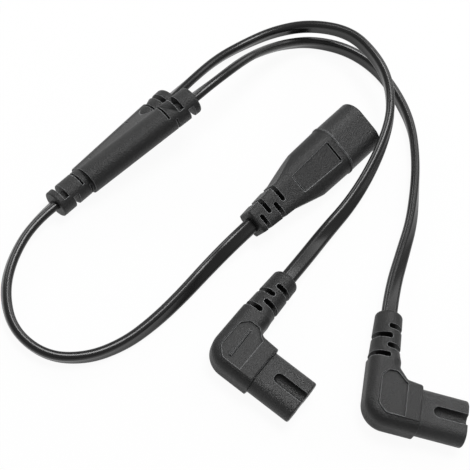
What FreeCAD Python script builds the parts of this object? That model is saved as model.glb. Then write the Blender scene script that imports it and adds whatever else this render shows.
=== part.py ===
import FreeCAD
import Part
import math
import os

V = FreeCAD.Vector

# All lengths are millimetres and all angles degrees.
# +Z is up and the table is z = 0. +X is the way the plug's shroud points.

# Flat two-core cord
CORD_WIDTH = 5.4
CORD_THICKNESS = 3.0
CORD_COVER = 0.3
CORE_RADIUS = 1.0
CORE_PITCH = 2.7
CORE_LEAD = 2.0
CORE_BEND = 5.0
CORE_SIDE_GAP = 0.05

# Figure-eight interface that the plug and the connectors share
PIN_PITCH = 8.6
PIN_RADIUS = 1.2
NOSE_WIDTH = 16.0
NOSE_HEIGHT = 8.2
NOSE_LENGTH = 16.1
MATING_CLEARANCE = 0.2

# Nose insert of a connector
GROOVE_WIDTH = 3.8
GROOVE_DEPTH = 2.3
GROOVE_START = 4.3
NOSE_TIP_ROUND = 0.7
TAIL_LENGTH = 3.0
TAIL_INSET = 1.1
BORE_CHAMFER = 0.3

# Rolled contact with its crimp
CONTACT_CLEARANCE = 0.03
CONTACT_WALL = 0.35
CONTACT_SETBACK = 2.5
CONTACT_FOOT = 1.6
CONTACT_SLIT = 0.5
CONTACT_NECK = 0.8
CRIMP_RADIUS = 1.35
CRIMP_LENGTH = 4.0

# Connector overmould
BODY_THICKNESS = 11.0
PANEL_LIP = 0.35
BODY_HALF_WIDTH = 8.6
BODY_EDGE_ROUND = 3.6
SHOULDER_STEP = 0.1
INNER_CORNER_STEP = 0.6
BODY_BACK = 18.0
BODY_BACK_ROUND = 8.0
JUNCTION_ROUND = 0.4
ARM_AXIS_BACK = 12.73
ARM_START = 14.5
ARM_BLEND = 3.5
ARM_BLEND_SINK = 0.4
ARM_OVERLAP = 1.0
ARM_END = 31.9
ARM_RADIUS = 5.2
ARM_TIP_RADIUS = 4.52
ARM_TIP_ROUND = 1.3
ARM_SLOT_WIDTH = 1.9
ARM_SLOT_FIRST = 15.05
ARM_SLOT_STEP = 3.6
ARM_SLOT_LAP = 0.9
ARM_SLOTS = 4

# Panel on both faces of the connector
PANEL_RECESS = 0.6
PANEL_RIM = 0.5
PANEL_EDGE_ROUND = 0.3
LAND_LENGTH = 5.3
BAR_HEIGHT = 0.5
BAR_CHAMFER = 0.3

# Plug insert: shroud and pin carrier in one piece
SHROUD_WIDTH = 18.6
SHROUD_HEIGHT = 11.5
SHROUD_LENGTH = 15.4
SHROUD_EDGE_ROUND = 0.5
CAVITY_DEPTH = 14.8
CARRIER_LENGTH = 9.0
CARRIER_INSET = 2.0
PIN_LENGTH = 11.4
PIN_SHANK_RADIUS = 1.5

# Plug overmould
PLUG_LIP = 0.25
PLUG_LIP_LENGTH = 0.6
PLUG_SHOULDER = 14.1
PLUG_SHOULDER_HALF_WIDTH = 8.9
PLUG_SHOULDER_THINNING = 0.4
PLUG_SHOULDER_NARROWING = 0.6
PLUG_TAPER_END = 26.6
PLUG_TAPER_HALF_WIDTH = 5.6
PLUG_TAPER_NARROWING = 3.6
PLUG_TAPER_THICKENING = 1.0
PLUG_TAIL_HALF_WIDTH = 4.4
PLUG_TAIL_HEIGHT = 8.2
PLUG_TAIL_NARROWING = 6.4
PLUG_LENGTH = 42.5
PLUG_TAIL_ROUND = 0.9
PLUG_PANEL_FRONT = 2.9
PLUG_PANEL_BACK = 21.9
PLUG_PANEL_FRONT_WIDTH = 8.3
PLUG_PANEL_BACK_WIDTH = 6.8
PLUG_PANEL_DEPTH = 0.45
PLUG_PANEL_ROUND = 0.6
PLUG_PANEL_TILT = 1.8
PLUG_PANEL_GROOVE = 0.5
PLUG_PANEL_GROOVE_DEPTH = 0.5
PLUG_SLOT_WIDTH = 1.7
PLUG_SLOT_FIRST = 29.6
PLUG_SLOT_STEP = 3.4
PLUG_SLOT_LAP = 0.9
PLUG_SLOTS = 4

# Splitter
SPLITTER_LENGTH = 57.4
SPLITTER_SPREAD = 16.3
SPLITTER_ARM_RADIUS = 4.9
SPLITTER_ARM_ROUND = 1.1
TRUNK_END_RADIUS = 4.75
TRUNK_END_LENGTH = 0.3
TRUNK_END_ROUND = 0.5
SPLITTER_STEP = 12.6
WEB_SINK = 0.15
CROTCH_START = 42.3
CROTCH_RADIUS = 6.3
WIDE_SLOT = 2.0
SLIT = 0.7
SPLITTER_BRIDGE = 8.0
SLOT_STAGGER = 3.0
SLIT_STAGGER = 2.0
TRUNK_WIDE_SLOT_AT = 2.9
TRUNK_SLIT_AT = 10.0
NEAR_WIDE_SLOT_FROM_END = 6.6
NEAR_SLIT_FROM_END = 11.8
FAR_WIDE_SLOT_FROM_END = 5.0
FAR_SLIT_FROM_END = 9.9
FAR_ARM_SHORT = 0.6
DENT_SIZE = 1.0
DENT_DEPTH = 0.3
DENT_NEAR_AT = 18.8
DENT_FAR_AT = 37.7
DENT_FAR_SPREAD = 4.0

# Inside the splitter
SPLICE_START = 20.0
SPLICE_LENGTH = 6.0
SPLICE_WIDTH = 4.4
SPLICE_HEIGHT = 2.6
SPLICE_GAP = 0.7
SPLICE_ROUND = 0.3
INNER_MOULD_MARGIN = 3.0
INNER_MOULD_COVER = 0.75
INNER_MOULD_FLARE = 1.0

# Where each piece lies on the table
CONNECTOR_A_AT = (-42.39, -15.98)
CONNECTOR_A_HEADING = -84.51
CONNECTOR_B_AT = (-16.62, -59.74)
CONNECTOR_B_HEADING = -57.9
CONNECTOR_B_ROLL = -2.83
CONNECTOR_B_PITCH = 3.16
CONNECTOR_B_LIFT = 0.297
PLUG_AT = (36.46, 20.78)
PLUG_ROLL = 17.8
SPLITTER_AT = (-47.41, 69.93)
SPLITTER_HEADING = 2.6
SPLITTER_LEAN = 56.0

# Routes of the cords between their ends, chosen by hand. Each end runs straight out of its moulding.
CORD_LEAD = 10.0
PLUG_LEAD = 8.9
TRUNK_ROUTE = [
    (-71.7, 66.1, 2.7), (-81.7, 58.6, 2.7), (-88.2, 47.6, 2.7), (-86.7, 34.6, 2.7), (-77.7, 25.6, 2.7),
    (-65.7, 21.1, 2.7), (-53.2, 20.1, 2.7), (-40.2, 20.1, 2.7), (-27.2, 20.6, 3.0),
]
BRANCH_A_ROUTE = [
    (35.8, 74.6, 3.0), (48.3, 71.6, 3.2), (60.3, 68.1, 6.0), (68.8, 59.1, 10.8), (74.3, 46.6, 13.6),
    (73.3, 34.1, 14.6), (68.8, 24.1, 14.0), (60.3, 15.6, 13.0), (49.8, 10.1, 11.6), (37.8, 6.1, 8.4),
    (25.8, 3.6, 5.0), (12.8, 3.1, 3.6),
]
BRANCH_B_ROUTE = [
    (33.3, 62.6, 18.8), (44.8, 62.6, 12.6), (57.3, 60.6, 6.6), (68.3, 55.6, 3.2), (76.3, 45.1, 2.7),
    (77.3, 32.6, 2.7), (77.8, 18.5, 2.7), (70.8, 7.5, 2.7), (59.3, 0.1, 2.7), (49.3, -7.4, 2.7),
    (38.3, -14.9, 2.7), (26.8, -19.9, 3.0),
]

TINY = 1e-6


def axes_frame(origin, x_axis, y_axis):
    """Placement that carries local x and y to the given directions at the given origin."""
    x = V(x_axis).normalize()
    z = x.cross(V(y_axis)).normalize()
    y = z.cross(x)
    o = V(origin)
    return FreeCAD.Placement(FreeCAD.Matrix(
        x.x, y.x, z.x, o.x,
        x.y, y.y, z.y, o.y,
        x.z, y.z, z.z, o.z,
        0, 0, 0, 1))


def placed(shape, frame):
    """A copy of the shape carried by a placement."""
    moved = shape.copy()
    moved.Placement = frame.multiply(moved.Placement)
    return moved


def heading(angle):
    """Level unit vector at an angle from +X."""
    return V(math.cos(math.radians(angle)), math.sin(math.radians(angle)), 0)


def rounded_face(corners):
    """Flat face with straight sides, each corner (x, y, r) rounded to its own radius."""
    count = len(corners)
    bends = []
    for i in range(count):
        corner = V(corners[i][0], corners[i][1], 0)
        before = corners[i - 1]
        after = corners[(i + 1) % count]
        radius = corners[i][2]
        back = (V(before[0], before[1], 0) - corner).normalize()
        on = (V(after[0], after[1], 0) - corner).normalize()
        half = back.getAngle(on) / 2
        reach = radius / math.tan(half)
        middle = corner + (back + on).normalize() * (radius / math.sin(half) - radius)
        bends.append((corner + back * reach, middle, corner + on * reach))
    edges = []
    for i, (start, middle, end) in enumerate(bends):
        if (end - start).Length > TINY:
            edges.append(Part.Arc(start, middle, end).toShape())
        following = bends[(i + 1) % count][0]
        if (following - end).Length > TINY:
            edges.append(Part.makeLine(end, following))
    return Part.Face(Part.Wire(edges))


def rounded_rectangle(width, height, radius):
    """Face centred on the origin, width along x and height along y."""
    a = width / 2
    b = height / 2
    return rounded_face([(-a, -b, radius), (a, -b, radius), (a, b, radius), (-a, b, radius)])


def stadium_at(x, width, height):
    """Stadium face square to X: width along Y, height along Z."""
    frame = axes_frame((x, 0, 0), (0, 1, 0), (0, 0, 1))
    return placed(rounded_rectangle(width, height, height / 2), frame)


def stadium_bar(x0, x1, width, height):
    """Bar of stadium section along X."""
    return stadium_at(x0, width, height).extrude(V(x1 - x0, 0, 0))


def cord_bar(x0, x1):
    """The flat cord with a thin cover of the moulding on it, along X."""
    return stadium_bar(x0, x1, CORD_WIDTH + 2 * CORD_COVER, CORD_THICKNESS + 2 * CORD_COVER)


def rod(start, end, radius):
    """Round rod between two points."""
    a = V(start)
    b = V(end)
    return Part.makeCylinder(radius, (b - a).Length, a, b - a)


def tube_path(points):
    """Straight runs joined by tangent arcs, each as large as its two runs allow, and the arc radii."""
    corners = [V(p) for p in points]
    edges = []
    radii = []
    at = corners[0]
    for i in range(1, len(corners) - 1):
        back = corners[i - 1] - corners[i]
        on = corners[i + 1] - corners[i]
        turn = math.pi - back.getAngle(on)
        reach = 0.45 * min(back.Length, on.Length)
        radius = reach / math.tan(turn / 2)
        back.normalize()
        on.normalize()
        middle = corners[i] + (back + on).normalize() * (radius / math.cos(turn / 2) - radius)
        start = corners[i] + back * reach
        edges.append(Part.LineSegment(at, start).toShape())
        at = corners[i] + on * reach
        edges.append(Part.Arc(start, middle, at).toShape())
        radii.append(radius)
    edges.append(Part.LineSegment(at, corners[-1]).toShape())
    return Part.Wire(edges), radii


def tube(points, radius):
    """Round tube along a path of runs and arcs."""
    path, radii = tube_path(points)
    start = V(points[0])
    ring = Part.Wire([Part.makeCircle(radius, start, V(points[1]) - start)])
    return path.makePipeShell([ring], True, False)


def joined(shapes):
    """One solid from several that overlap."""
    whole = shapes[0].multiFuse(shapes[1:]).removeSplitter()
    return whole.Solids[0] if len(whole.Solids) == 1 else whole


def edges_where(shape, test):
    """Edges whose every vertex and middle pass the test."""
    found = []
    for edge in shape.Edges:
        middle = edge.valueAt((edge.FirstParameter + edge.LastParameter) / 2)
        if test(middle) and all(test(vertex.Point) for vertex in edge.Vertexes):
            found.append(edge)
    return found


# Connector, in its own frame: x out of the nose, y along the arm, z up from the table,
# and the origin on the table under the middle of the parting line.

MIDDLE = BODY_THICKNESS / 2
BODY_TOP = BODY_THICKNESS - PANEL_LIP
BORE_RADIUS = PIN_RADIUS + CONTACT_CLEARANCE + CONTACT_WALL
CONTACT_END = NOSE_LENGTH - CONTACT_SETBACK
CONTACT_START = CONTACT_FOOT
CONTACT_LENGTH = CONTACT_END - CONTACT_START
CRIMP_START = -TAIL_LENGTH - CRIMP_LENGTH
ELBOW_ARM_HALF = BODY_BACK - ARM_AXIS_BACK


def mirrored(shape):
    """The same shape on the other face of a connector."""
    return shape.mirror(V(0, 0, MIDDLE), V(0, 0, 1))


def elbow_outline(inner_corner):
    """Outline of the elbow in plan, with one mould's own inner corner."""
    return rounded_face([
        (0, -BODY_HALF_WIDTH, 0),
        (-BODY_BACK, -BODY_HALF_WIDTH, BODY_BACK_ROUND),
        (-BODY_BACK, ARM_START, 0),
        (ELBOW_ARM_HALF - ARM_AXIS_BACK, ARM_START, 0),
    ] + inner_corner + [
        (0, BODY_HALF_WIDTH + SHOULDER_STEP, 0),
    ])


CORNER_A = [(ELBOW_ARM_HALF - ARM_AXIS_BACK, BODY_HALF_WIDTH + INNER_CORNER_STEP, 2.2)]
CORNER_B = [(ELBOW_ARM_HALF - ARM_AXIS_BACK, 12.4, 1.0), (-4.7, BODY_HALF_WIDTH + INNER_CORNER_STEP, 1.0)]

PANEL_A = [
    (-0.3, -6.9, 0.4), (-12.2, -6.9, 2.5), (-15.2, -3.6, 2.5), (-15.2, 7.0, 2.5),
    (-12.6, 9.9, 2.0), (-8.6, 9.9, 2.0), (-5.6, 6.8, 1.6), (-0.3, 6.8, 0.4),
]
PANEL_B = [
    (-0.3, -5.9, 0.4), (-11.6, -5.9, 2.5), (-14.5, -3.0, 2.5), (-14.5, 7.4, 2.8),
    (-12.0, 10.2, 2.2), (-8.8, 10.2, 2.4), (-5.4, 6.9, 1.6), (-0.3, 6.9, 0.4),
]
BAR = [(-11.3, 7.0), (-10.2, 7.0), (-9.8, -4.4), (-11.4, -4.8), (-10.9, -3.4)]


def elbow(inner_corner):
    """Elbow block with well rounded long edges and a slightly rounded parting edge."""
    bottom = PANEL_LIP
    block = placed(elbow_outline(inner_corner), FreeCAD.Placement(V(0, 0, bottom), FreeCAD.Rotation()))
    block = block.extrude(V(0, 0, BODY_TOP - bottom))

    def long_edge(p):
        return abs(p.z - bottom) < TINY or abs(p.z - BODY_TOP) < TINY

    def on_end(edge):
        at_nose = all(abs(v.X) < TINY for v in edge.Vertexes)
        at_arm = all(abs(v.Y - ARM_START) < TINY for v in edge.Vertexes)
        return at_nose or at_arm

    rims = [e for e in edges_where(block, long_edge) if not on_end(e)]
    block = block.makeFillet(BODY_EDGE_ROUND, rims)
    parting = edges_where(block, lambda p: abs(p.x) < TINY)
    return block.makeFillet(JUNCTION_ROUND, parting)


def arm_section(y, width, height, radius):
    """Section of the arm square to Y, centred on the arm's axis."""
    frame = axes_frame((-ARM_AXIS_BACK, y, MIDDLE), (0, 0, 1), (1, 0, 0))
    return placed(rounded_rectangle(height, width, radius), frame)


def arm():
    """Strain-relief arm: a blend out of the elbow, then a slender cone with a rounded end."""
    base = arm_section(ARM_START, 2 * ELBOW_ARM_HALF, BODY_TOP - PANEL_LIP, BODY_EDGE_ROUND)
    sunk = ARM_RADIUS - ARM_BLEND_SINK
    neck = arm_section(ARM_START + ARM_BLEND, 2 * sunk, 2 * sunk, 0.95 * sunk)
    blend = Part.makeLoft([base.OuterWire, neck.OuterWire], True, True)
    at = V(-ARM_AXIS_BACK, ARM_START - ARM_OVERLAP, MIDDLE)
    cone = Part.makeCone(ARM_RADIUS, ARM_TIP_RADIUS, ARM_END - at.y, at, V(0, 1, 0))
    tip = edges_where(cone, lambda p: abs(p.y - ARM_END) < TINY)
    return [blend, cone.makeFillet(ARM_TIP_ROUND, tip)]


def arm_slot(level, side):
    """Slot across the arm at a level along it, open on one side and closed past the axis."""
    closed = -ARM_AXIS_BACK - side * ARM_SLOT_LAP
    far = -ARM_AXIS_BACK + side * 2 * ARM_RADIUS
    half = ARM_SLOT_WIDTH / 2
    outline = rounded_face([
        (closed, level - half, half), (far, level - half, 0),
        (far, level + half, 0), (closed, level + half, half)])
    cut = outline.extrude(V(0, 0, BODY_THICKNESS))
    floor = cord_bar(level - ARM_SLOT_WIDTH, level + ARM_SLOT_WIDTH)
    return cut.cut(placed(floor, axes_frame((-ARM_AXIS_BACK, 0, MIDDLE), (0, 1, 0), (-1, 0, 0))))


def panel_pad(outline):
    """Low pad that carries the panel's lip and the land beside the nose."""
    depth = BODY_EDGE_ROUND / 2
    start = FreeCAD.Placement(V(0, 0, BODY_THICKNESS - depth), FreeCAD.Rotation())
    pad = placed(rounded_face(outline), start).extrude(V(0, 0, depth))
    rim = edges_where(pad, lambda p: abs(p.z - BODY_THICKNESS) < TINY)
    return pad.makeFillet(PANEL_EDGE_ROUND, rim)


def panel_recess(outline):
    """Recess inside the lip, as far as the land."""
    face = rounded_face(outline)
    inner = face.makeOffset2D(-PANEL_RIM)
    start = FreeCAD.Placement(V(0, 0, BODY_THICKNESS - PANEL_RECESS), FreeCAD.Rotation())
    pocket = placed(inner, start).extrude(V(0, 0, PANEL_RECESS))
    land = Part.makeBox(LAND_LENGTH, 4 * BODY_HALF_WIDTH, BODY_THICKNESS,
                        V(-LAND_LENGTH, -2 * BODY_HALF_WIDTH, 0))
    return pocket.cut(land)


def panel_bar():
    """Raised bar on the floor of the recess."""
    floor = BODY_THICKNESS - PANEL_RECESS
    wire = Part.makePolygon([V(x, y, floor) for x, y in BAR + BAR[:1]])
    bar = Part.Face(wire).extrude(V(0, 0, BAR_HEIGHT))
    rim = edges_where(bar, lambda p: abs(p.z - floor - BAR_HEIGHT) < TINY)
    return bar.makeChamfer(BAR_CHAMFER, rim)


def overmould_blank(inner_corner, panel, with_bar):
    """Connector overmould before the pieces that it holds are taken out of it."""
    body = joined([elbow(inner_corner)] + arm() + [panel_pad(panel), mirrored(panel_pad(panel))])
    cuts = [panel_recess(panel), mirrored(panel_recess(panel))]
    for i in range(ARM_SLOTS):
        side = -1 if i % 2 == 0 else 1
        cuts.append(arm_slot(ARM_SLOT_FIRST + i * ARM_SLOT_STEP, side))
    body = body.cut(Part.makeCompound(cuts))
    if with_bar:
        body = joined([body, panel_bar(), mirrored(panel_bar())])
    return body


def nose_groove():
    """Groove in the upper flat of the nose, with a round bottom and a round start."""
    radius = GROOVE_WIDTH / 2
    top = MIDDLE + NOSE_HEIGHT / 2
    axis = top - GROOVE_DEPTH + radius
    start = GROOVE_START + radius
    head = joined([Part.makeSphere(radius, V(start, 0, axis)),
                   Part.makeCylinder(radius, GROOVE_DEPTH, V(start, 0, axis))])
    run = joined([rod((start, 0, axis), (NOSE_LENGTH, 0, axis), radius),
                  Part.makeBox(NOSE_LENGTH - start, GROOVE_WIDTH, GROOVE_DEPTH, V(start, -radius, axis))])
    return joined([head, run])


def nose_insert():
    """Hard insert: the figure-eight nose, its tail in the overmould, and the two stepped bores."""
    nose = stadium_bar(0, NOSE_LENGTH, NOSE_WIDTH, NOSE_HEIGHT)
    tip = edges_where(nose, lambda p: abs(p.x - NOSE_LENGTH) < TINY)
    nose = nose.makeFillet(NOSE_TIP_ROUND, tip)
    tail = stadium_bar(-TAIL_LENGTH, 0, NOSE_WIDTH - 2 * TAIL_INSET, NOSE_HEIGHT - 2 * TAIL_INSET)
    solid = joined([nose, tail])
    solid = placed(solid, FreeCAD.Placement(V(0, 0, MIDDLE), FreeCAD.Rotation()))
    cuts = [nose_groove(), mirrored(nose_groove())]
    for side in (-1, 1):
        y = side * PIN_PITCH / 2
        cuts.append(rod((CONTACT_START, y, MIDDLE), (NOSE_LENGTH, y, MIDDLE), BORE_RADIUS))
        cuts.append(rod((-TAIL_LENGTH, y, MIDDLE), (CONTACT_START, y, MIDDLE), CONTACT_NECK))
        mouth = V(NOSE_LENGTH - BORE_CHAMFER, y, MIDDLE)
        flare = BORE_RADIUS + BORE_CHAMFER
        cuts.append(Part.makeCone(BORE_RADIUS, flare, BORE_CHAMFER, mouth, V(1, 0, 0)))
    return solid.cut(Part.makeCompound(cuts))


def contact(side):
    """Rolled sleeve with a slit, a neck through the insert and a crimp behind it."""
    y = side * PIN_PITCH / 2
    inner = PIN_RADIUS + CONTACT_CLEARANCE
    sleeve = rod((CONTACT_START, y, MIDDLE), (CONTACT_END, y, MIDDLE), BORE_RADIUS)
    hollow = rod((CONTACT_START + CONTACT_WALL, y, MIDDLE), (CONTACT_END, y, MIDDLE), inner)
    slit = Part.makeBox(CONTACT_LENGTH - CONTACT_WALL, BORE_RADIUS, CONTACT_SLIT)
    slit_y = y if side < 0 else y - BORE_RADIUS
    slit.translate(V(CONTACT_START + CONTACT_WALL, slit_y, MIDDLE - CONTACT_SLIT / 2))
    neck = rod((-TAIL_LENGTH, y, MIDDLE), (CONTACT_START, y, MIDDLE), CONTACT_NECK)
    crimp = rod((CRIMP_START, y, MIDDLE), (-TAIL_LENGTH, y, MIDDLE), CRIMP_RADIUS)
    return joined([sleeve.cut(hollow).cut(slit), neck, crimp])


def connector_core(side):
    """Insulated core from the crimp, round the elbow and up the arm."""
    y = side * PIN_PITCH / 2
    x = -ARM_AXIS_BACK + side * CORE_PITCH / 2
    return tube([(CRIMP_START, y, MIDDLE), (x, y, MIDDLE), (x, ARM_END, MIDDLE)], CORE_RADIUS)


def connector(inner_corner, panel, with_bar):
    """Pieces of one connector in its own frame."""
    pieces = {
        "nose": nose_insert(),
        "contact_live": contact(1),
        "contact_neutral": contact(-1),
        "core_live": connector_core(1),
        "core_neutral": connector_core(-1),
    }
    body = overmould_blank(inner_corner, panel, with_bar)
    pieces["overmould"] = body.cut(Part.makeCompound(list(pieces.values())))
    return pieces


# Plug, in its own frame: x out of the shroud, y across it, z square to its flat faces,
# and the origin on the parting line at the middle of the section.

CAVITY_FLOOR = SHROUD_LENGTH - CAVITY_DEPTH
PIN_CRIMP_START = -CARRIER_LENGTH - CRIMP_LENGTH
SHOULDER_HEIGHT = SHROUD_HEIGHT - PLUG_SHOULDER_THINNING
TAPER_HEIGHT = PLUG_TAIL_HEIGHT + PLUG_TAPER_THICKENING


def plug_insert():
    """Shroud with its figure-eight cavity, and the carrier block behind it that holds the pins."""
    shroud = stadium_bar(0, SHROUD_LENGTH, SHROUD_WIDTH, SHROUD_HEIGHT)
    mouth = edges_where(shroud, lambda p: abs(p.x - SHROUD_LENGTH) < TINY)
    shroud = shroud.makeFillet(SHROUD_EDGE_ROUND, mouth)
    carrier = stadium_bar(-CARRIER_LENGTH, 0, SHROUD_WIDTH - 2 * CARRIER_INSET,
                          SHROUD_HEIGHT - 2 * CARRIER_INSET)
    cavity = stadium_bar(CAVITY_FLOOR, SHROUD_LENGTH, NOSE_WIDTH + 2 * MATING_CLEARANCE,
                         NOSE_HEIGHT + 2 * MATING_CLEARANCE)
    holes = []
    for side in (-1, 1):
        y = side * PIN_PITCH / 2
        holes.append(rod((-CARRIER_LENGTH, y, 0), (CAVITY_FLOOR, y, 0), PIN_SHANK_RADIUS))
    return joined([shroud, carrier]).cut(Part.makeCompound([cavity] + holes))


def plug_pin(side):
    """Round pin with a domed tip, its thicker shank through the carrier, and a crimp behind it."""
    y = side * PIN_PITCH / 2
    end = CAVITY_FLOOR + PIN_LENGTH
    shaft = rod((CAVITY_FLOOR, y, 0), (end - PIN_RADIUS, y, 0), PIN_RADIUS)
    shank = rod((-CARRIER_LENGTH, y, 0), (CAVITY_FLOOR, y, 0), PIN_SHANK_RADIUS)
    dome = Part.makeSphere(PIN_RADIUS, V(end - PIN_RADIUS, y, 0))
    crimp = rod((PIN_CRIMP_START, y, 0), (-CARRIER_LENGTH, y, 0), CRIMP_RADIUS)
    return joined([shaft, dome, shank, crimp])


def plug_core(side):
    """Insulated core from the crimp, drawn in to the cord's pitch, to the end of the strain relief."""
    y = side * PIN_PITCH / 2
    inner = side * CORE_PITCH / 2
    return tube([(PIN_CRIMP_START, y, 0), (PIN_CRIMP_START - CORE_LEAD, y, 0),
                 (-PLUG_TAPER_END, inner, 0), (-PLUG_LENGTH, inner, 0)], CORE_RADIUS)


def plug_plan():
    """Plan of the overmould: straight body, planar tapers and a slender strain relief."""
    lip = SHROUD_WIDTH / 2 + PLUG_LIP
    half = [(0, lip), (-PLUG_LIP_LENGTH, lip), (-PLUG_LIP_LENGTH, SHROUD_WIDTH / 2),
            (-PLUG_SHOULDER, PLUG_SHOULDER_HALF_WIDTH), (-PLUG_TAPER_END, PLUG_TAPER_HALF_WIDTH),
            (-PLUG_LENGTH, PLUG_TAIL_HALF_WIDTH)]
    corners = half + [(x, -y) for x, y in reversed(half)]
    base = -SHROUD_HEIGHT
    wire = Part.makePolygon([V(x, y, base) for x, y in corners + corners[:1]])
    return Part.Face(wire).extrude(V(0, 0, 2 * SHROUD_HEIGHT))


def plug_rounds():
    """Stadium-section body that thins towards the cord, wider than the plan at its tail."""
    lip = stadium_bar(-PLUG_LIP_LENGTH, 0, SHROUD_WIDTH + 2 * PLUG_LIP, SHROUD_HEIGHT + 2 * PLUG_LIP)
    sections = [
        stadium_at(0, SHROUD_WIDTH, SHROUD_HEIGHT),
        stadium_at(-PLUG_SHOULDER, SHROUD_WIDTH - PLUG_SHOULDER_NARROWING, SHOULDER_HEIGHT),
        stadium_at(-PLUG_TAPER_END, SHROUD_WIDTH - PLUG_TAPER_NARROWING, TAPER_HEIGHT),
        stadium_at(-PLUG_LENGTH, SHROUD_WIDTH - PLUG_TAIL_NARROWING, PLUG_TAIL_HEIGHT),
    ]
    body = Part.makeLoft([s.OuterWire for s in sections], True, True)
    return joined([body, lip])


def plug_panel():
    """Tapered recess in the upper face, with a fine groove across its front and back."""
    front = PLUG_PANEL_FRONT_WIDTH / 2
    back = PLUG_PANEL_BACK_WIDTH / 2
    face = rounded_face([
        (-PLUG_PANEL_FRONT, -front, PLUG_PANEL_ROUND), (-PLUG_PANEL_FRONT, front, PLUG_PANEL_ROUND),
        (-PLUG_PANEL_BACK, back, PLUG_PANEL_ROUND), (-PLUG_PANEL_BACK, -back, PLUG_PANEL_ROUND)])
    cuts = [face.extrude(V(0, 0, SHROUD_HEIGHT))]
    for x, half in ((-PLUG_PANEL_FRONT - PLUG_PANEL_GROOVE, front), (-PLUG_PANEL_BACK, back)):
        width = 2 * (half - PLUG_PANEL_ROUND)
        corner = V(x, -width / 2, -PLUG_PANEL_GROOVE_DEPTH)
        cuts.append(Part.makeBox(PLUG_PANEL_GROOVE, width, SHROUD_HEIGHT, corner))
    floor = V(0, 0, SHROUD_HEIGHT / 2 - PLUG_PANEL_DEPTH)
    tilt = FreeCAD.Rotation(V(0, 1, 0), -PLUG_PANEL_TILT)
    return placed(joined(cuts), FreeCAD.Placement(floor, tilt))


def plug_slot(station, side):
    """Slot across the strain relief, open on one side and closed past the middle."""
    closed = -side * PLUG_SLOT_LAP
    far = side * SHROUD_WIDTH / 2
    half = PLUG_SLOT_WIDTH / 2
    outline = rounded_face([
        (-station - half, closed, half), (-station - half, far, 0),
        (-station + half, far, 0), (-station + half, closed, half)])
    base = FreeCAD.Placement(V(0, 0, -SHROUD_HEIGHT), FreeCAD.Rotation())
    cut = placed(outline, base).extrude(V(0, 0, 2 * SHROUD_HEIGHT))
    return cut.cut(cord_bar(-station - PLUG_SLOT_WIDTH, -station + PLUG_SLOT_WIDTH))


def plug_blank():
    """Plug overmould before the pieces that it holds are taken out of it."""
    body = plug_rounds().common(plug_plan())
    end = edges_where(body, lambda p: abs(p.x + PLUG_LENGTH) < TINY)
    body = body.makeFillet(PLUG_TAIL_ROUND, end)
    cuts = [plug_panel()]
    for i in range(PLUG_SLOTS):
        side = 1 if i % 2 == 0 else -1
        cuts.append(plug_slot(PLUG_SLOT_FIRST + i * PLUG_SLOT_STEP, side))
    return body.cut(Part.makeCompound(cuts))


def plug():
    """Pieces of the plug in its own frame."""
    pieces = {
        "insert": plug_insert(),
        "pin_live": plug_pin(1),
        "pin_neutral": plug_pin(-1),
        "core_live": plug_core(1),
        "core_neutral": plug_core(-1),
    }
    pieces["overmould"] = plug_blank().cut(Part.makeCompound(list(pieces.values())))
    return pieces


# Splitter, in its own frame: x from the trunk end along the middle line, y across in the plane
# of the two arms, z square to that plane.

HALF_SPREAD = math.degrees(math.atan2(SPLITTER_SPREAD / 2, SPLITTER_LENGTH))
ARM_REACH = math.hypot(SPLITTER_SPREAD / 2, SPLITTER_LENGTH)
WEB_HALF = SPLITTER_ARM_RADIUS - WEB_SINK
SPLICE_END = SPLICE_START + SPLICE_LENGTH
SPLICE_LEVEL = (SPLICE_GAP + SPLICE_HEIGHT) / 2


def reach(side):
    """Length of an arm's axis from the origin: the far arm is slightly shorter."""
    return ARM_REACH if side > 0 else ARM_REACH - FAR_ARM_SHORT


def sleeve_frame(angle):
    """Frame of a sleeve: x along its axis, which is turned by an angle in the plane of the arms."""
    return axes_frame((0, 0, 0), heading(angle), heading(angle + 90))


def half_slot(radius, station, width, face):
    """Slot over one face of a sleeve, from one bridge in the plane of the arms to the other."""
    ring = Part.makeCylinder(2 * radius, width, V(station - width / 2, 0, 0), V(1, 0, 0))
    wedge = math.tan(math.radians(SPLITTER_BRIDGE))
    far = 3 * radius
    wire = Part.makePolygon([V(0, 0, 0), V(0, -far, face * far * wedge), V(0, -far, face * far),
                             V(0, far, face * far), V(0, far, face * far * wedge), V(0, 0, 0)])
    sector = Part.Face(wire).extrude(V(station + width, 0, 0))
    return ring.common(sector).cut(cord_bar(station - width, station + width))


def sleeve_slots(radius, wide_at, slit_at, stagger):
    """A wide slot and a slit over each face, staggered from the upper face to the lower one."""
    cuts = []
    for face in (-1, 1):
        shift = stagger * (face + 1) / 2
        cuts.append(half_slot(radius, wide_at + shift * SLOT_STAGGER, WIDE_SLOT, face))
        cuts.append(half_slot(radius, slit_at + shift * SLIT_STAGGER, SLIT, face))
    return Part.makeCompound(cuts)


def splitter_arm(side):
    """Round arm with a rounded end, from the step where the body starts."""
    length = reach(side)
    arm_bar = Part.makeCylinder(SPLITTER_ARM_RADIUS, length, V(0, 0, 0), V(1, 0, 0))
    end = edges_where(arm_bar, lambda p: abs(p.x - length) < TINY)
    arm_bar = arm_bar.makeFillet(SPLITTER_ARM_ROUND, end)
    arm_bar = placed(arm_bar, sleeve_frame(side * HALF_SPREAD))
    behind = Part.makeBox(2 * SPLITTER_STEP, 4 * SPLITTER_SPREAD, 4 * SPLITTER_SPREAD,
                          V(-SPLITTER_STEP, -2 * SPLITTER_SPREAD, -2 * SPLITTER_SPREAD))
    return arm_bar.cut(behind)


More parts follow.
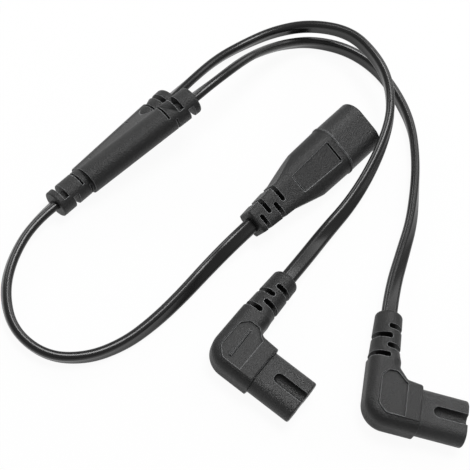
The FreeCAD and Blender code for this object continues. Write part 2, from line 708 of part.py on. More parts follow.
def splitter_web():
    """Web between the arms, with a concave crotch and three small dents in each face."""
    slope = math.tan(math.radians(HALF_SPREAD))
    end = CROTCH_START + CROTCH_RADIUS
    wire = Part.makePolygon([
        V(SPLITTER_STEP, -SPLITTER_STEP * slope, -WEB_HALF), V(end, -end * slope, -WEB_HALF),
        V(end, end * slope, -WEB_HALF), V(SPLITTER_STEP, SPLITTER_STEP * slope, -WEB_HALF),
        V(SPLITTER_STEP, -SPLITTER_STEP * slope, -WEB_HALF)])
    web = Part.Face(wire).extrude(V(0, 0, 2 * WEB_HALF))
    crotch = Part.makeCylinder(CROTCH_RADIUS, 4 * WEB_HALF, V(end, 0, -2 * WEB_HALF))
    return web.cut(crotch)


def web_dents():
    """Square dents left by the mould's pegs, the same on both faces."""
    dents = []
    for x, y in ((DENT_NEAR_AT, 0), (DENT_FAR_AT, DENT_FAR_SPREAD), (DENT_FAR_AT, -DENT_FAR_SPREAD)):
        for z in (WEB_HALF - DENT_DEPTH, -WEB_HALF - DENT_DEPTH):
            corner = V(x - DENT_SIZE / 2, y - DENT_SIZE / 2, z)
            dents.append(Part.makeBox(DENT_SIZE, DENT_SIZE, 2 * DENT_DEPTH, corner))
    return dents


def splitter_blank():
    """Splitter overmould before the pieces that it holds are taken out of it."""
    length = TRUNK_END_LENGTH + SPLITTER_STEP
    sleeve = Part.makeCylinder(TRUNK_END_RADIUS, length, V(-TRUNK_END_LENGTH, 0, 0), V(1, 0, 0))
    end = edges_where(sleeve, lambda p: abs(p.x + TRUNK_END_LENGTH) < TINY)
    sleeve = sleeve.makeFillet(TRUNK_END_ROUND, end)
    body = joined([sleeve, splitter_arm(1), splitter_arm(-1), splitter_web()])
    cuts = web_dents()
    cuts.append(sleeve_slots(TRUNK_END_RADIUS, TRUNK_WIDE_SLOT_AT, TRUNK_SLIT_AT, 1))
    for side, wide_back, slit_back, stagger in (
            (1, NEAR_WIDE_SLOT_FROM_END, NEAR_SLIT_FROM_END, 1),
            (-1, FAR_WIDE_SLOT_FROM_END, FAR_SLIT_FROM_END, -1)):
        slots = sleeve_slots(SPLITTER_ARM_RADIUS, ARM_REACH - wide_back, ARM_REACH - slit_back, stagger)
        cuts.append(placed(slots, sleeve_frame(side * HALF_SPREAD)))
    return body.cut(Part.makeCompound(cuts))


def splice(level):
    """Crimped splice block that joins one trunk core to two branch cores."""
    corner = V(SPLICE_START, -SPLICE_WIDTH / 2, level * SPLICE_LEVEL - SPLICE_HEIGHT / 2)
    block = Part.makeBox(SPLICE_LENGTH, SPLICE_WIDTH, SPLICE_HEIGHT, corner)
    return block.makeFillet(SPLICE_ROUND, block.Edges)


def trunk_core(level):
    """Core from the trunk cord to its splice."""
    y = -level * CORE_PITCH / 2
    z = level * SPLICE_LEVEL
    return tube([(-TRUNK_END_LENGTH, y, 0), (CORE_BEND, y, 0),
                 (SPLICE_START - CORE_LEAD, 0, z), (SPLICE_START, 0, z)], CORE_RADIUS)


def branch_core(level, side):
    """Core from a splice to the end of one arm, side by side with its pair there."""
    along = heading(side * HALF_SPREAD)
    outward = heading(side * (HALF_SPREAD + 90))
    end = along * reach(side) + outward * (level * CORE_PITCH / 2)
    bend = end - along * CORE_BEND
    y = side * (CORE_RADIUS + CORE_SIDE_GAP)
    z = level * SPLICE_LEVEL
    return tube([(SPLICE_END, y, z), (SPLICE_END + CORE_LEAD, y, z), tuple(bend), tuple(end)], CORE_RADIUS)


def inner_mould(held):
    """First-shot block moulded over the splices before the outer moulding."""
    start = SPLICE_START - INNER_MOULD_MARGIN
    end = SPLICE_END + INNER_MOULD_MARGIN
    half = SPLICE_LEVEL + SPLICE_HEIGHT / 2 + INNER_MOULD_COVER
    edge = SPLICE_WIDTH / 2 + INNER_MOULD_COVER
    wide = edge + INNER_MOULD_FLARE
    wire = Part.makePolygon([V(start, -edge, -half), V(end, -wide, -half),
                             V(end, wide, -half), V(start, edge, -half), V(start, -edge, -half)])
    block = Part.Face(wire).extrude(V(0, 0, 2 * half))
    return block.cut(Part.makeCompound(held))


def splitter():
    """Pieces of the splitter in its own frame."""
    pieces = {
        "splice_live": splice(1),
        "splice_neutral": splice(-1),
        "trunk_core_live": trunk_core(1),
        "trunk_core_neutral": trunk_core(-1),
        "core_a_live": branch_core(1, -1),
        "core_a_neutral": branch_core(-1, -1),
        "core_b_live": branch_core(1, 1),
        "core_b_neutral": branch_core(-1, 1),
    }
    pieces["inner_mould"] = inner_mould(list(pieces.values()))
    pieces["overmould"] = splitter_blank().cut(Part.makeCompound(list(pieces.values())))
    return pieces


# Places on the table


def connector_frame(at, angle, roll=0, pitch=0, lift=0):
    """The connector lies with its nose along the heading: flat, or rolled over its nose and pitched."""
    level = axes_frame((at[0], at[1], lift), heading(angle), heading(angle + 90))
    tilt = FreeCAD.Rotation(V(0, 1, 0), pitch).multiply(FreeCAD.Rotation(V(1, 0, 0), roll))
    return level.multiply(FreeCAD.Placement(V(), tilt))


def plug_frame():
    """The plug lies rolled over on one lobe of its section."""
    lift = SHROUD_HEIGHT / 2 + (SHROUD_WIDTH - SHROUD_HEIGHT) / 2 * math.sin(math.radians(PLUG_ROLL))
    lift = lift + PLUG_LIP
    across = V(0, math.cos(math.radians(PLUG_ROLL)), math.sin(math.radians(PLUG_ROLL)))
    return axes_frame((PLUG_AT[0], PLUG_AT[1], lift), (1, 0, 0), across)


def splitter_frame():
    """The splitter stands on its far arm, with the near arm leaning up over it."""
    lying = heading(SPLITTER_HEADING)
    lean = math.radians(SPLITTER_LEAN)
    leaning = heading(SPLITTER_HEADING - 90) * math.cos(lean) + V(0, 0, 1) * math.sin(lean)
    half = math.radians(HALF_SPREAD)
    along = lying * math.cos(half) + leaning * math.sin(half)
    across = leaning * math.cos(half) - lying * math.sin(half)
    return axes_frame((SPLITTER_AT[0], SPLITTER_AT[1], SPLITTER_ARM_RADIUS), along, across)


def run_out(frame, end, along, lead):
    """Two points of a cord: where it leaves a moulding, and the end of its straight run out."""
    direction = V(along).normalize()
    return [frame.multVec(V(end)), frame.multVec(V(end) + direction * lead)]


def cord_routes(frames):
    """Full routes of the three cords, tied at both ends to the mouldings that hold them."""
    trunk_end = run_out(frames["splitter"], (-TRUNK_END_LENGTH, 0, 0), (-1, 0, 0), CORD_LEAD)
    plug_end = run_out(frames["plug"], (-PLUG_LENGTH, 0, 0), (-1, 0, 0), PLUG_LEAD)
    routes = {"trunk_cord": trunk_end + TRUNK_ROUTE + plug_end[::-1]}
    branches = (("branch_cord_a", BRANCH_A_ROUTE, -1, "connector_a"),
                ("branch_cord_b", BRANCH_B_ROUTE, 1, "connector_b"))
    for name, between, side, connector_name in branches:
        along = heading(side * HALF_SPREAD)
        start = run_out(frames["splitter"], along * reach(side), along, CORD_LEAD)
        end = run_out(frames[connector_name], (-ARM_AXIS_BACK, ARM_END, MIDDLE), (0, 1, 0), CORD_LEAD)
        routes[name] = start + between + end[::-1]
    return routes


def cord(name, route):
    """Tube of one cord, with its length and arc radii printed."""
    solid = tube(route, CORD_WIDTH / 2)
    path, radii = tube_path(route)
    share = solid.Volume / (path.Length * math.pi * CORD_WIDTH ** 2 / 4)
    print(name, "length %.1f" % path.Length, "volume share %.4f" % share)
    print("  arc radii", " ".join("%.1f" % r for r in radii))
    print("  ends", [tuple(round(c, 2) for c in V(p)) for p in route[:2] + route[-2:]])
    return solid


def nodes():
    """Every piece of the lead, by node name, where it lies."""
    frames = {
        "connector_a": connector_frame(CONNECTOR_A_AT, CONNECTOR_A_HEADING),
        "connector_b": connector_frame(CONNECTOR_B_AT, CONNECTOR_B_HEADING,
                                       CONNECTOR_B_ROLL, CONNECTOR_B_PITCH, CONNECTOR_B_LIFT),
        "plug": plug_frame(),
        "splitter": splitter_frame(),
    }
    groups = {
        "connector_a": connector(CORNER_A, PANEL_A, True),
        "connector_b": connector(CORNER_B, PANEL_B, False),
        "plug": plug(),
        "splitter": splitter(),
    }
    whole = {}
    for name, pieces in groups.items():
        for piece, shape in pieces.items():
            whole[name + "_" + piece] = placed(shape, frames[name])
    for name, route in cord_routes(frames).items():
        whole[name] = cord(name, route)
    return whole


os.makedirs("parts", exist_ok=True)
for node, shape in nodes().items():
    if len(shape.Solids) != 1 or not shape.isValid():
        print("CHECK", node, "solids", len(shape.Solids), "valid", shape.isValid())
    shape.exportStep("parts/" + node + ".step")
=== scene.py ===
# %% [markdown]
# # A short Y lead in Blender
#
# The object is a power lead in one piece: a straight plug with a figure-eight shroud, a flat trunk cord,
# a moulded splitter, and two flat branch cords that end in right-angled figure-eight connectors. The
# mouldings come from the CAD model and stay as they are. This lesson gives them their finish, makes the
# flat cords that twist between them, and lights the result for the camera.

import bpy
import numpy as np
from mathutils import Matrix, Vector


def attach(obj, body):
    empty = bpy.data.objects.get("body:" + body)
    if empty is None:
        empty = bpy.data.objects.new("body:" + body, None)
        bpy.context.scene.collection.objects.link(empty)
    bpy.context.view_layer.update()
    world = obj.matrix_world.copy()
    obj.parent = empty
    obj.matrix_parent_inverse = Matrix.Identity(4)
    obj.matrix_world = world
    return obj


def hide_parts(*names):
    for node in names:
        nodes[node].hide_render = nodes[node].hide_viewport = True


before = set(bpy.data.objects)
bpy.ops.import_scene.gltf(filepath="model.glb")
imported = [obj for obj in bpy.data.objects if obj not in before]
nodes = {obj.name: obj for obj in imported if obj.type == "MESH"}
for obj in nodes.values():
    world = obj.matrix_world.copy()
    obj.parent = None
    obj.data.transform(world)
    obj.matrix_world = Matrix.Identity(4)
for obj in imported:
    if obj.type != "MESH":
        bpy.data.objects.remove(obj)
scene = bpy.context.scene
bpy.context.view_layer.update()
print("CAD nodes:", len(nodes))

# %% [markdown]
# ## The camera
#
# The lead is photographed from above and to one side with a long lens. The place and turn of the camera
# are worked out from the connectors, the plug and the table they lie on. A matrix built from the camera's
# own right, up and back directions turns it without any doubt about the order of angles.

# %% Camera
CAMERA_AT = Vector((-0.26049, -0.07743, 0.46575))
CAMERA_RIGHT = Vector((0.65375, -0.7314, 0.19408))
CAMERA_UP = Vector((0.59589, 0.65567, 0.46369))
CAMERA_LENS = 124.41
CAMERA_SENSOR = 36
NEAREST_SEEN = 0.01

lens = bpy.data.cameras.new("camera")
lens.lens = CAMERA_LENS
lens.sensor_width = CAMERA_SENSOR
lens.clip_start = NEAREST_SEEN
camera = bpy.data.objects.new("camera", lens)
scene.collection.objects.link(camera)
back = CAMERA_RIGHT.cross(CAMERA_UP)
turn = Matrix((CAMERA_RIGHT, CAMERA_UP, back)).transposed()
camera.matrix_world = Matrix.Translation(CAMERA_AT) @ turn.to_4x4()
scene.camera = camera
print("camera is", round(CAMERA_AT.length, 3), "m from the middle of the table")

# %% [markdown]
# ## A small language for shaders
#
# A finish is easier to read as arithmetic than as a drawing of boxes and wires. `Value` wraps one output
# socket. Adding or multiplying two of them adds a Math node, and `Finish.node` makes any other node.

# %% Socket arithmetic
EDGE_SAMPLES = 6
OPEN_AIR_REACH = 3


class Value:
    """An output socket that takes part in ordinary arithmetic."""

    def __init__(self, finish, socket):
        self.finish = finish
        self.socket = socket

    def math(self, operation, *others):
        return self.finish.node("ShaderNodeMath", {"operation": operation}, self, *others)

    def __add__(self, other):
        return self.math("ADD", other)

    __radd__ = __add__

    def __mul__(self, other):
        return self.math("MULTIPLY", other)

    __rmul__ = __mul__

    def __sub__(self, other):
        return self.math("SUBTRACT", other)

    def __rsub__(self, other):
        return self.finish.node("ShaderNodeMath", {"operation": "SUBTRACT"}, other, self)

    def smooth(self, low, high):
        """0 below low, 1 above high, and a smooth step between them."""
        settings = {"interpolation_type": "SMOOTHSTEP"}
        return self.finish.node("ShaderNodeMapRange", settings, self, low, high, 0.0, 1.0)


class Finish:
    """One material and its node tree."""

    def __init__(self, name):
        self.material = bpy.data.materials.new(name)
        self.material.use_nodes = True
        self.tree = self.material.node_tree
        self.tree.nodes.clear()
        self.output = self.tree.nodes.new("ShaderNodeOutputMaterial")

    def node(self, kind, settings=None, *inputs, out=0, **named):
        """Adds a node, sets its settings, fills its sockets and returns one output."""
        made = self.tree.nodes.new(kind)
        for key, value in (settings or {}).items():
            setattr(made, key, value)
        for place, value in list(enumerate(inputs)) + list(named.items()):
            key = place if isinstance(place, int) else place.replace("_", " ")
            self.fill(made.inputs[key], value)
        return Value(self, made.outputs[out])

    def fill(self, socket, value):
        if isinstance(value, Value):
            self.tree.links.new(value.socket, socket)
        elif value is not None:
            socket.default_value = value

    def point(self):
        """Object coordinates, in metres."""
        return self.node("ShaderNodeTexCoord", out="Object")

    def looked_at(self):
        """1 for what the camera sees, also through glass, and 0 for light on its way to a surface."""
        seen = self.node("ShaderNodeLightPath", out="Is Camera Ray")
        return seen.math("MAXIMUM", self.node("ShaderNodeLightPath", out="Is Transmission Ray"))

    def noise(self, scale, detail=2.0, roughness=0.5, at=None):
        return self.node("ShaderNodeTexNoise", None, Vector=at or self.point(), Scale=scale,
                         Detail=detail, Roughness=roughness, out="Fac")

    def bump(self, height, strength, distance, normal=None):
        return self.node("ShaderNodeBump", None, Strength=strength, Distance=distance,
                         Height=height, Normal=normal)

    def blend(self, factor, first, second):
        """Mixes two colours."""
        mixed = self.tree.nodes.new("ShaderNodeMix")
        mixed.data_type = "RGBA"
        self.fill(mixed.inputs["Factor"], factor)
        self.fill(mixed.inputs["A"], first)
        self.fill(mixed.inputs["B"], second)
        return Value(self, mixed.outputs["Result"])

    def edges(self, radius):
        """Normals rounded over the edges, and a mask that is 1 along the edges that stand proud, where a
        highlight is painted.
        """
        rounded = self.node("ShaderNodeBevel", {"samples": EDGE_SAMPLES}, Radius=radius)
        flat = self.node("ShaderNodeNewGeometry", out="Normal")
        level = self.node("ShaderNodeVectorMath", {"operation": "DOT_PRODUCT"}, rounded, flat,
                          out="Value")
        open_air = self.node("ShaderNodeAmbientOcclusion", {"samples": EDGE_SAMPLES},
                             Distance=OPEN_AIR_REACH * radius, out="AO")
        return rounded, (1.0 - level).smooth(0.01, 0.2) * open_air.smooth(0.55, 0.9)

    def surface(self, **sockets):
        """Ends the tree in a Principled shader."""
        shader = self.tree.nodes.new("ShaderNodeBsdfPrincipled")
        for key, value in sockets.items():
            self.fill(shader.inputs[key.replace("_", " ")], value)
        self.tree.links.new(shader.outputs["BSDF"], self.output.inputs["Surface"])
        return self.material


def grey(level, warmth=0.0):
    """A nearly neutral colour with a slight warm or cool cast."""
    return (level * (1 + warmth), level, level * (1 - warmth), 1.0)


print("a mid grey with a slight warm cast:", grey(0.5, 0.02))

# %% [markdown]
# ## Moulded black plastic
#
# The mouldings are soft black PVC out of a steel mould with a fine spark-eroded skin. It is dark charcoal
# rather than black, and its sheen is broken by grains a few tenths of a millimetre wide. An image of such
# a skin would stretch over the elbows, so it is all worked out from the place in the room. A coarse noise
# varies tone and gloss, as handling does, a second one lays faint scuffs, and a fine noise with cells in
# it is the grain itself. A pale grey is painted along the edges that stand proud. It is a painted
# highlight with a little rubbed wear in it, and it draws the thin light outline round each panel and
# groove. The hard inserts are a little paler and glossier, so they get the same recipe with other numbers.

# %% Moulded finishes
EDGE_ROUND = 0.00035
# Pale grey painted along proud edges as a highlight, with a little rubbed wear in it.
EDGE_HIGHLIGHT_GREY = 0.45
PATCHES_PER_METRE = 55.0
SCUFFS_PER_METRE = 240.0


def moulded(name, level, roughness, grain, grain_size):
    """Black plastic with an eroded skin: grain is its bump height and grain_size its width, in metres."""
    finish = Finish(name)
    patches = finish.noise(PATCHES_PER_METRE, detail=3.0)
    grains = finish.noise(1.0 / grain_size, detail=3.0, roughness=0.65)
    flecks = finish.node("ShaderNodeTexVoronoi", {"feature": "F1"}, Vector=finish.point(),
                         Scale=0.6 / grain_size, out="Distance")
    scuffs = finish.noise(SCUFFS_PER_METRE, detail=5.0, roughness=0.7).smooth(0.6, 0.82)
    tone = finish.blend(patches.smooth(0.3, 0.7), grey(level * 0.85, -0.01), grey(level * 1.15, -0.02))
    rounded, edge = finish.edges(EDGE_ROUND)
    scuffed = finish.blend(scuffs * 0.35, tone, grey(level * 1.9, -0.01))
    # Painted highlight: a pale grey laid along the proud edges, partly standing for rubbed wear.
    edge_highlight_and_wear = finish.blend(edge, scuffed, grey(EDGE_HIGHLIGHT_GREY, -0.02))
    gloss = roughness + (patches - 0.5) * 0.1 + scuffs * 0.06 + (grains - 0.5) * 0.22 - edge * 0.08
    skin = finish.bump(grains + flecks * 0.5, 1.0, grain, normal=rounded)
    return finish.surface(Base_Color=edge_highlight_and_wear, Roughness=gloss, Normal=skin, Specular_IOR_Level=0.5)


black_pvc = moulded("soft black moulding", level=0.0100, roughness=0.46, grain=0.00016,
                    grain_size=0.00035)
black_insert = moulded("hard black insert", level=0.0200, roughness=0.38, grain=0.00017,
                       grain_size=0.00030)
print("moulded finishes:", black_pvc.name, "and", black_insert.name)

# %% [markdown]
# ## Metal and core insulation
#
# The contacts are rolled from brass strip, the pins are nickel plated, and each core has a coloured
# sleeve. They only show in the nose bores and in the shroud, so a fine brushed grain is enough for the
# metal and a faint mottle for the sleeves.

# %% Metal and sleeve finishes
FINE_GRAIN_HEIGHT = 0.00001
SLEEVE_ROUGHNESS = 0.4


def brushed(name, colour, darker, roughness):
    """Bare metal with fine grain and slightly dull patches."""
    finish = Finish(name)
    patches = finish.noise(900.0, detail=4.0)
    grain = finish.noise(6000.0, detail=2.0)
    tone = finish.blend(patches.smooth(0.35, 0.75), colour, darker)
    gloss = roughness + (grain - 0.5) * 0.15 + (patches - 0.5) * 0.1
    return finish.surface(Base_Color=tone, Metallic=1.0, Roughness=gloss,
                          Normal=finish.bump(grain, 0.3, FINE_GRAIN_HEIGHT))


def sleeve(name, colour, darker):
    """Coloured plastic with a faint mottle."""
    finish = Finish(name)
    patches = finish.noise(400.0, detail=3.0)
    tone = finish.blend(patches.smooth(0.3, 0.7), colour, darker)
    return finish.surface(Base_Color=tone, Roughness=SLEEVE_ROUGHNESS + (patches - 0.5) * 0.15)


contact_brass = brushed("brass contact", (0.78, 0.62, 0.35, 1.0), (0.6, 0.46, 0.25, 1.0), 0.32)
pin_nickel = brushed("nickel pin", (0.75, 0.74, 0.72, 1.0), (0.62, 0.61, 0.58, 1.0), 0.22)
core_brown = sleeve("brown core", (0.2, 0.09, 0.04, 1.0), (0.15, 0.065, 0.03, 1.0))
core_blue = sleeve("blue core", (0.03, 0.12, 0.5, 1.0), (0.025, 0.09, 0.4, 1.0))
inner_plastic = sleeve("inner mould", (0.6, 0.6, 0.58, 1.0), (0.5, 0.5, 0.48, 1.0))
print("metals:", contact_brass.name, "and", pin_nickel.name)
print("sleeves:", core_brown.name, "and", core_blue.name, "with", inner_plastic.name)

# %% Finish of every CAD node
FINISHES = (
    ("overmould", black_pvc), ("nose", black_insert), ("insert", black_insert),
    ("contact", contact_brass), ("splice", contact_brass), ("pin", pin_nickel),
    ("inner_mould", inner_plastic), ("neutral", core_blue), ("live", core_brown),
)


def finish_of(name):
    """The first finish whose word is in the node's name. The cord tubes, replaced below, get black."""
    for word, material in FINISHES:
        if word in name:
            return material
    return black_pvc


for name, node in nodes.items():
    node.data.materials.clear()
    node.data.materials.append(finish_of(name))
print("finished CAD nodes:", len(nodes))

# %% [markdown]
# ## Cord sheath
#
# The cords are extruded, so their skin is smoother and glossier than the mouldings, with faint lines
# along the cord where the die drew it. The lines follow the cord, so they are read from attributes that
# run along and around each sweep and not from a place in the room.

# %% Cord finish
def drawn_sheath(name, level, roughness):
    """Extruded sheath: faint lengthwise die lines on a satin skin."""
    finish = Finish(name)
    along = finish.node("ShaderNodeAttribute", {"attribute_name": "along"}, out="Fac")
    around = finish.node("ShaderNodeAttribute", {"attribute_name": "around"}, out="Fac")
    spot = finish.node("ShaderNodeCombineXYZ", None, along * 0.02, around * 40.0, 0.0)
    lines = finish.noise(1.0, detail=3.0, at=spot)
    patches = finish.noise(70.0, detail=3.0)
    tone = finish.blend(patches.smooth(0.3, 0.7), grey(level * 0.9), grey(level * 1.12))
    gloss = roughness + (patches - 0.5) * 0.05 + (lines - 0.5) * 0.05
    fine = finish.noise(2500.0, detail=2.0)
    skin = finish.bump(lines + fine * 0.3, 0.15, FINE_GRAIN_HEIGHT)
    return finish.surface(Base_Color=tone, Roughness=gloss, Normal=skin)


cord_pvc = drawn_sheath("extruded cord sheath", level=0.012, roughness=0.27)
print("cord finish:", cord_pvc.name)

# %% [markdown]
# ## The flat cords
#
# Each cord is flat, with two cores side by side in one sheath, and it bends easily only over its thin
# side. A cord stands on its edge where it goes round a bend and lies flat at the connectors. A curve with
# a round bevel couldn't show that, so the line and the turn are given apart. The line is a NURBS curve,
# which stays smooth between few control points, and a roll at each distance turns the section on the way.

# %% Routes and rolls
CORD_WIDTH = 0.0054
CORD_THICKNESS = 0.0030

# Control points of each cord's line, in metres, from the splitter to the cord's far end.
ROUTES = {
    "trunk_cord": [
        (-0.04771, 0.06994, 0.00487), (-0.05763, 0.07028, 0.0037), (-0.07153, 0.06576, 0.0027),
        (-0.08162, 0.05853, 0.0027), (-0.0881, 0.04758, 0.0027), (-0.08672, 0.03459, 0.0027),
        (-0.07776, 0.0255, 0.0027), (-0.06573, 0.02095, 0.0027), (-0.05321, 0.01973, 0.0027),
        (-0.0402, 0.01998, 0.0027), (-0.02721, 0.02095, 0.003), (-0.01494, 0.02078, 0.00709),
        (-0.00604, 0.02078, 0.00709)],
    "branch_cord_a": [
        (0.00991, 0.07253, 0.0049), (0.0199, 0.07299, 0.0049), (0.03576, 0.0739, 0.003),
        (0.04828, 0.0715, 0.0032), (0.05951, 0.06683, 0.006), (0.06795, 0.05854, 0.0108),
        (0.07426, 0.0466, 0.0136), (0.07278, 0.03422, 0.0146), (0.06883, 0.02408, 0.014),
        (0.06025, 0.01567, 0.013), (0.04979, 0.01013, 0.0116), (0.03783, 0.006, 0.0084),
        (0.0258, 0.00357, 0.005), (0.01284, 0.00268, 0.0036), (-0.0019, 0.0007, 0.0055),
        (-0.01185, -0.00026, 0.0055)],
    "branch_cord_b": [
        (0.00863, 0.06344, 0.01828), (0.01829, 0.06232, 0.02059), (0.0333, 0.06225, 0.0188),
        (0.04479, 0.06247, 0.0126), (0.05737, 0.06082, 0.0066), (0.06844, 0.05577, 0.0032),
        (0.07609, 0.04502, 0.0027), (0.07783, 0.03257, 0.0027), (0.07452, 0.0204, 0.0027),
        (0.06856, 0.0089, 0.0027), (0.05948, -0.00011, 0.0027), (0.04949, -0.00766, 0.0027),
        (0.03843, -0.01513, 0.0027), (0.02699, -0.02031, 0.003), (0.01241, -0.02675, 0.00442),
        (0.00396, -0.03208, 0.00491)],
}

# Roll in degrees at a distance along the cord in metres. 0 is flat on the table and 90 is on edge.
ROLLS = {
    "trunk_cord": [(0, 56), (0.004, 68), (0.010, 73), (0.016, 76), (0.028, 78), (0.034, 82), (0.040, 89),
                   (0.046, 99), (0.052, 106), (0.058, 107), (0.064, 103), (0.070, 95), (0.076, 87),
                   (0.088, 74), (0.100, 61), (0.112, 50), (0.124, 38), (0.136, 28), (0.147, 18)],
    "branch_cord_a": [(0, -56), (0.006, -68), (0.012, -74), (0.034, -76), (0.046, -84), (0.064, -87),
                      (0.082, -92), (0.090, -88), (0.100, -80), (0.112, -76), (0.118, -72),
                      (0.130, -61), (0.142, -50), (0.154, -37), (0.160, -28), (0.166, -18),
                      (0.172, -8), (0.180, -4), (0.188, 0)],
    "branch_cord_b": [(0, -55), (0.004, -66), (0.010, -70), (0.022, -66), (0.034, -62), (0.046, -66),
                      (0.058, -77), (0.070, -89), (0.085, -91), (0.094, -88), (0.106, -86),
                      (0.112, -77), (0.118, -70), (0.136, -74), (0.142, -68), (0.148, -57),
                      (0.160, -42), (0.172, -27), (0.184, -13), (0.192, -2)],
}
print("control points:", {name: len(route) for name, route in ROUTES.items()})


# %% Centre line of a cord
LINE_ORDER = 3
POINTS_PER_SPAN = 14
EASE_REACH = 6


def centre_line(name, route):
    """The smooth line of a cord as points, read from a NURBS curve on its route."""
    data = bpy.data.curves.new(name + "_line", "CURVE")
    data.dimensions = "3D"
    data.resolution_u = POINTS_PER_SPAN
    spline = data.splines.new("NURBS")
    spline.points.add(len(route) - 1)
    for point, place in zip(spline.points, route):
        point.co = (*place, 1.0)
    spline.order_u = LINE_ORDER
    spline.use_endpoint_u = True
    holder = bpy.data.objects.new(name + "_line", data)
    scene.collection.objects.link(holder)
    evaluated = holder.evaluated_get(bpy.context.evaluated_depsgraph_get())
    line = bpy.data.meshes.new_from_object(evaluated)
    points = np.array([v.co for v in line.vertices], float)
    bpy.data.objects.remove(holder)
    bpy.data.meshes.remove(line)
    return points


def eased(stations, pairs):
    """Rolls at the stations: straight runs between the given rolls, smoothed by a short window."""
    known = np.array(pairs, float)
    rolls = np.interp(stations, known[:, 0], known[:, 1])
    window = np.hanning(2 * EASE_REACH + 1)
    padded = np.pad(rolls, EASE_REACH, mode="edge")
    return np.convolve(padded, window / window.sum(), mode="valid")


# %% [markdown]
# ### The sweep
#
# The node tree turns a line of points into a curve, rolls it by the attribute on its points, and
# sweeps a section along it, because one tree then serves all three cords. The section is a rounded
# rectangle with slightly hollow flats, which is the shape that a sheath takes over two cores.

# %% Geometry Nodes for the flat cord
DISH = 0.00007
CORNER_SHARE = 0.497
CORNER_POINTS = 8
HOLLOW_SHARE = 0.26
SECTION_POINTS = 72


class Tree:
    """A Geometry Nodes tree under construction."""

    def __init__(self, name):
        self.group = bpy.data.node_groups.new(name, "GeometryNodeTree")
        face = self.group.interface
        face.new_socket("Geometry", in_out="INPUT", socket_type="NodeSocketGeometry")
        face.new_socket("Geometry", in_out="OUTPUT", socket_type="NodeSocketGeometry")
        self.entry = self.group.nodes.new("NodeGroupInput")
        self.exit = self.group.nodes.new("NodeGroupOutput")

    def size(self, name, value, kind="NodeSocketFloat"):
        """Adds a named input to the tree and returns the socket that carries it."""
        socket = self.group.interface.new_socket(name, in_out="INPUT", socket_type=kind)
        if value is not None:
            socket.default_value = value
        return self.entry.outputs[name]

    def add(self, kind, settings=None, out=0, **inputs):
        made = self.group.nodes.new(kind)
        for key, value in (settings or {}).items():
            setattr(made, key, value)
        for key, value in inputs.items():
            socket = made.inputs[int(key[1:]) if key[1:].isdigit() else key.replace("_", " ")]
            if isinstance(value, bpy.types.NodeSocket):
                self.group.links.new(value, socket)
            else:
                socket.default_value = value
        return made.outputs[out]

    def math(self, operation, first, second):
        return self.add("ShaderNodeMath", {"operation": operation}, i0=first, i1=second)

    def finish(self, geometry, material):
        """Ends the tree as plain geometry with its material."""
        real = self.add("GeometryNodeRealizeInstances", Geometry=geometry)
        done = self.add("GeometryNodeSetMaterial", Geometry=real, Material=material)
        self.group.links.new(done, self.exit.inputs["Geometry"])
        return self.group


def flat_cord_tree():
    """A tree that sweeps a flat two-core section along a line, rolled by the attribute named roll."""
    tree = Tree("flat cord sweep")
    width = tree.size("Width", CORD_WIDTH)
    thickness = tree.size("Thickness", CORD_THICKNESS)
    dish = tree.size("Dish", DISH)
    material = tree.size("Material", None, "NodeSocketMaterial")

    block = tree.add("GeometryNodeCurvePrimitiveQuadrilateral", {"mode": "RECTANGLE"},
                     Width=width, Height=thickness)
    corner = tree.math("MULTIPLY", thickness, CORNER_SHARE)
    rounded = tree.add("GeometryNodeFilletCurve", {"mode": "POLY"}, Curve=block, Count=CORNER_POINTS,
                       Radius=corner)
    fine = tree.add("GeometryNodeResampleCurve", {"mode": "COUNT"}, Curve=rounded, Count=SECTION_POINTS)
    place = tree.add("GeometryNodeInputPosition")
    parts = tree.group.nodes.new("ShaderNodeSeparateXYZ")
    tree.group.links.new(place, parts.inputs[0])
    across, up = parts.outputs[0], parts.outputs[1]
    share = tree.math("DIVIDE", across, tree.math("MULTIPLY", width, HOLLOW_SHARE))
    hollow = tree.math("MAXIMUM", tree.math("SUBTRACT", 1.0, tree.math("MULTIPLY", share, share)), 0.0)
    sink = tree.math("MULTIPLY", tree.math("MULTIPLY", hollow, dish), tree.math("SIGN", up, 0.0))
    shift = tree.add("ShaderNodeCombineXYZ", Y=tree.math("MULTIPLY", sink, -1.0))
    dished = tree.add("GeometryNodeSetPosition", Geometry=fine, Offset=shift)
    angle = tree.add("GeometryNodeSplineParameter", out="Factor")
    section = tree.add("GeometryNodeStoreNamedAttribute", {"data_type": "FLOAT", "domain": "POINT"},
                       Geometry=dished, Name="around", Value=angle)

    line = tree.add("GeometryNodeMeshToCurve", Mesh=tree.entry.outputs["Geometry"])
    length = tree.add("GeometryNodeSplineParameter", out="Length")
    line = tree.add("GeometryNodeStoreNamedAttribute", {"data_type": "FLOAT", "domain": "POINT"},
                    Geometry=line, Name="along", Value=length)
    line = tree.add("GeometryNodeSetCurveNormal", {"mode": "Z_UP"}, Curve=line)
    roll = tree.add("GeometryNodeInputNamedAttribute", {"data_type": "FLOAT"}, Name="roll")
    line = tree.add("GeometryNodeSetCurveTilt", Curve=line, Tilt=roll)
    swept = tree.add("GeometryNodeCurveToMesh", Curve=line, Profile_Curve=section, Fill_Caps=True)
    smooth = tree.add("GeometryNodeSetShadeSmooth", Geometry=swept)
    return tree.finish(smooth, material)


FLAT_CORD = flat_cord_tree()
print("sweep inputs:", [item.name for item in FLAT_CORD.interface.items_tree if item.in_out == "INPUT"])


# %% Sweep each cord
def apply_tree(holder, group, **values):
    """Runs a tree on an object and leaves the result as its plain mesh."""
    modifier = holder.modifiers.new(group.name, "NODES")
    modifier.node_group = group
    for item in group.interface.items_tree:
        if item.in_out == "INPUT" and item.name in values:
            modifier[item.identifier] = values[item.name]
    depsgraph = bpy.context.evaluated_depsgraph_get()
    made = bpy.data.meshes.new_from_object(holder.evaluated_get(depsgraph), depsgraph=depsgraph,
                                           preserve_all_data_layers=True)
    holder.modifiers.clear()
    holder.data = made


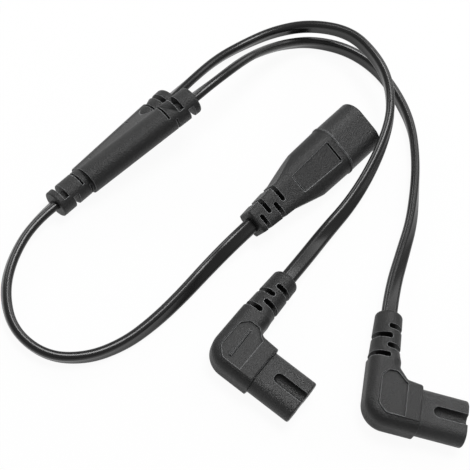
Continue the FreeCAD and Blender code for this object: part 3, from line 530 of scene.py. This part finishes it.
for name, route in ROUTES.items():
    points = centre_line(name, route)
    steps = np.linalg.norm(np.diff(points, axis=0), axis=1)
    stations = np.concatenate([[0.0], np.cumsum(steps)])
    data = bpy.data.meshes.new(name)
    data.from_pydata([tuple(p) for p in points], [(i, i + 1) for i in range(len(points) - 1)], [])
    rolls = np.radians(eased(stations, ROLLS[name]))
    data.attributes.new("roll", "FLOAT", "POINT").data.foreach_set("value", rolls.astype(np.float32))
    cord = bpy.data.objects.new("flat_" + name, data)
    scene.collection.objects.link(cord)
    apply_tree(cord, FLAT_CORD, Material=cord_pvc)
    cord.data.materials.clear()
    cord.data.materials.append(cord_pvc)
    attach(cord, "root")
    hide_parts(name)
    print(name, "swept length", round(float(stations[-1]), 4), "faces", len(cord.data.polygons))

# %% [markdown]
# ## Table, light and surroundings
#
# The photograph is a product shot on pure white with hardly any shadow. More light on a white sheet would
# wash out the lead as well, so the sheet glows only for the rays that look at it, and a little of its
# real shading is left for a soft shadow. One soft lamp hangs overhead and lights every top face. Two lower
# ones stand to the right and behind, and leave the sides that face the camera darker, as the photograph
# shows them. The sky is dim as a light and white to look at, so low views have the same background.

# %% Table
TABLE_HALF = 3.0
TABLE_BOUNCE = 0.38
TABLE_PAPER = 0.9
TABLE_GLOW = 0.94
MIRRORED_TABLE = 0.8


def white_table():
    """Grey for the light that bounces off it, and nearly plain white where it is seen."""
    finish = Finish("white table")
    mirrored = finish.node("ShaderNodeLightPath", out="Is Glossy Ray")
    shown = finish.looked_at().math("MAXIMUM", mirrored * MIRRORED_TABLE)
    sheet = finish.node("ShaderNodeBsdfDiffuse", None, Color=grey(TABLE_BOUNCE))
    glow = finish.node("ShaderNodeEmission", None, Color=grey(1.0), Strength=1.0)
    paper = finish.node("ShaderNodeBsdfDiffuse", None, Color=grey(TABLE_PAPER))
    white = finish.node("ShaderNodeMixShader", None, TABLE_GLOW, paper, glow)
    both = finish.node("ShaderNodeMixShader", None, shown, sheet, white)
    finish.tree.links.new(both.socket, finish.output.inputs["Surface"])
    return finish.material


sheet_mesh = bpy.data.meshes.new("table")
corners = [(-1, -1), (1, -1), (1, 1), (-1, 1)]
sheet_mesh.from_pydata([(x * TABLE_HALF, y * TABLE_HALF, 0) for x, y in corners], [], [(0, 1, 2, 3)])
table = bpy.data.objects.new("table", sheet_mesh)
scene.collection.objects.link(table)
sheet_mesh.materials.append(white_table())
print("table is", 2 * TABLE_HALF, "m wide")


# %% Lamps and sky
SKY_LEVEL = 0.28
# Name, place and width in metres, and power in watts.
LAMPS = (
    ("overhead", (0.25, 0.14, 1.1), 0.45, 8.0),
    ("right", (0.95, 0.05, 0.6), 0.7, 3.0),
    ("behind", (0.10, 1.05, 0.5), 0.5, 3.0),
)


def soft_lamp(name, at, size, power):
    """A square lamp that faces the middle of the lead."""
    data = bpy.data.lights.new(name, "AREA")
    data.shape = "SQUARE"
    data.size = size
    data.energy = power
    lamp = bpy.data.objects.new(name, data)
    scene.collection.objects.link(lamp)
    lamp.location = at
    lamp.rotation_mode = "QUATERNION"
    lamp.rotation_quaternion = (-Vector(at)).to_track_quat("-Z", "Y")


for name, at, size, power in LAMPS:
    soft_lamp(name, at, size, power)


class Sky(Finish):
    """A world and its node tree, written in the same way as a material."""

    def __init__(self, name):
        self.world = bpy.data.worlds.new(name)
        self.world.use_nodes = True
        self.tree = self.world.node_tree
        self.tree.nodes.clear()
        self.output = self.tree.nodes.new("ShaderNodeOutputWorld")


sky = Sky("studio")
strength = sky.looked_at() * (1.0 - SKY_LEVEL) + SKY_LEVEL
light = sky.node("ShaderNodeBackground", None, Color=grey(1.0), Strength=strength)
sky.tree.links.new(light.socket, sky.output.inputs["Surface"])
scene.world = sky.world
scene.view_settings.view_transform = "Standard"
print("lamps:", [lamp[0] for lamp in LAMPS], "under a sky at", SKY_LEVEL)
